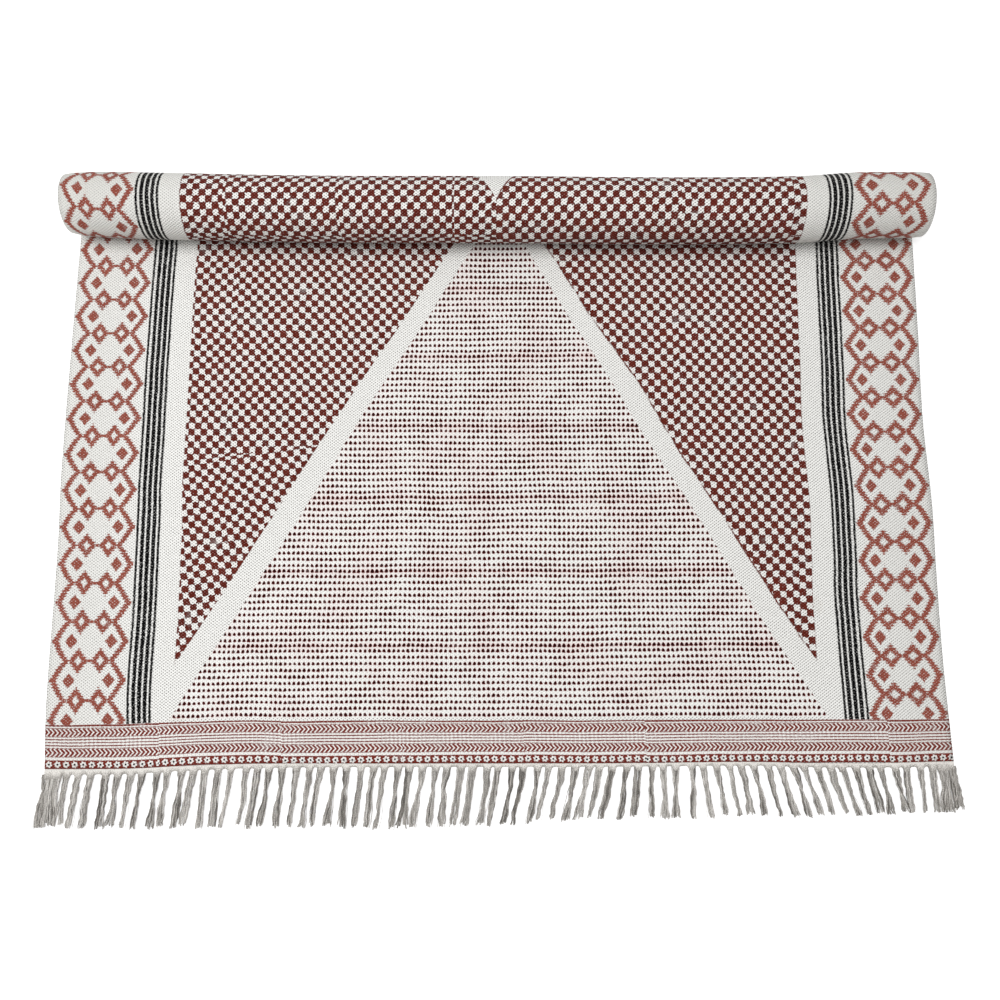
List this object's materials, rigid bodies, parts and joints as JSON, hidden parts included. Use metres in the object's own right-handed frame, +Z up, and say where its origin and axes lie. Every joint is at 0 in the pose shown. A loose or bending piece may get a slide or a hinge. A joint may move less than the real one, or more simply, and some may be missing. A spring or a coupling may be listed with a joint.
{
  "type": "dhurrie rug",
  "caption": "Flat-woven cotton rug with a block-printed pattern and a tasselled near end, lying flat with its far end rolled up on top of it.",
  "frame": {"origin": "middle of the underside of the whole part's box, on the floor", "axes": "+X across the rug's width, +Y along the rug from the near fringe towards the roll, +Z up"},
  "size_m": [1.211, 0.8902, 0.0962],
  "materials": {
    "cloth": "matte natural cotton, block printed in brick red, dark red-brown and black",
    "fringe": "matte grey-beige cotton yarn"
  },
  "bodies": {
    "root": {"rug": "cloth", "fringe": "fringe"}
  },
  "joints": []
}
